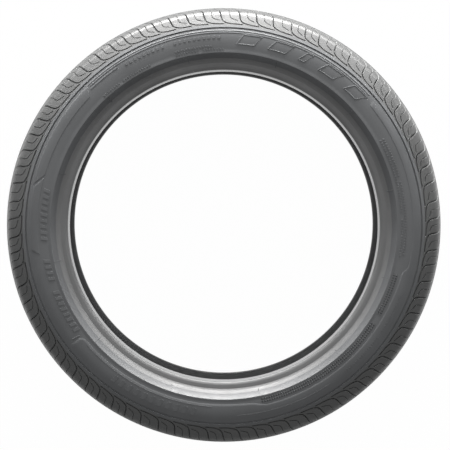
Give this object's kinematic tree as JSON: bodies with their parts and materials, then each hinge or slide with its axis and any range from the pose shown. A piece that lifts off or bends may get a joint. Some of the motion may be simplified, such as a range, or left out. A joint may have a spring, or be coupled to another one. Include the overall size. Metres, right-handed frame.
{
  "type": "car tyre",
  "caption": "Low-profile passenger car tyre: a moulded ring with a grooved tread, hooked shoulder grooves, rim-guard ribs on its sidewalls and beads that seat on a wheel's rim.",
  "frame": {"origin": "centre of the tyre, on its axis and midway between its two sidewalls", "axes": "+Z along the tyre's axis, out of the sidewall that the picture shows; +Y towards the picture's top and +X towards its right"},
  "size_m": [0.653, 0.6528, 0.248],
  "materials": {
    "tyre": "moulded black rubber with a soft satin sheen"
  },
  "bodies": {
    "root": {"tyre": "tyre"}
  },
  "joints": []
}
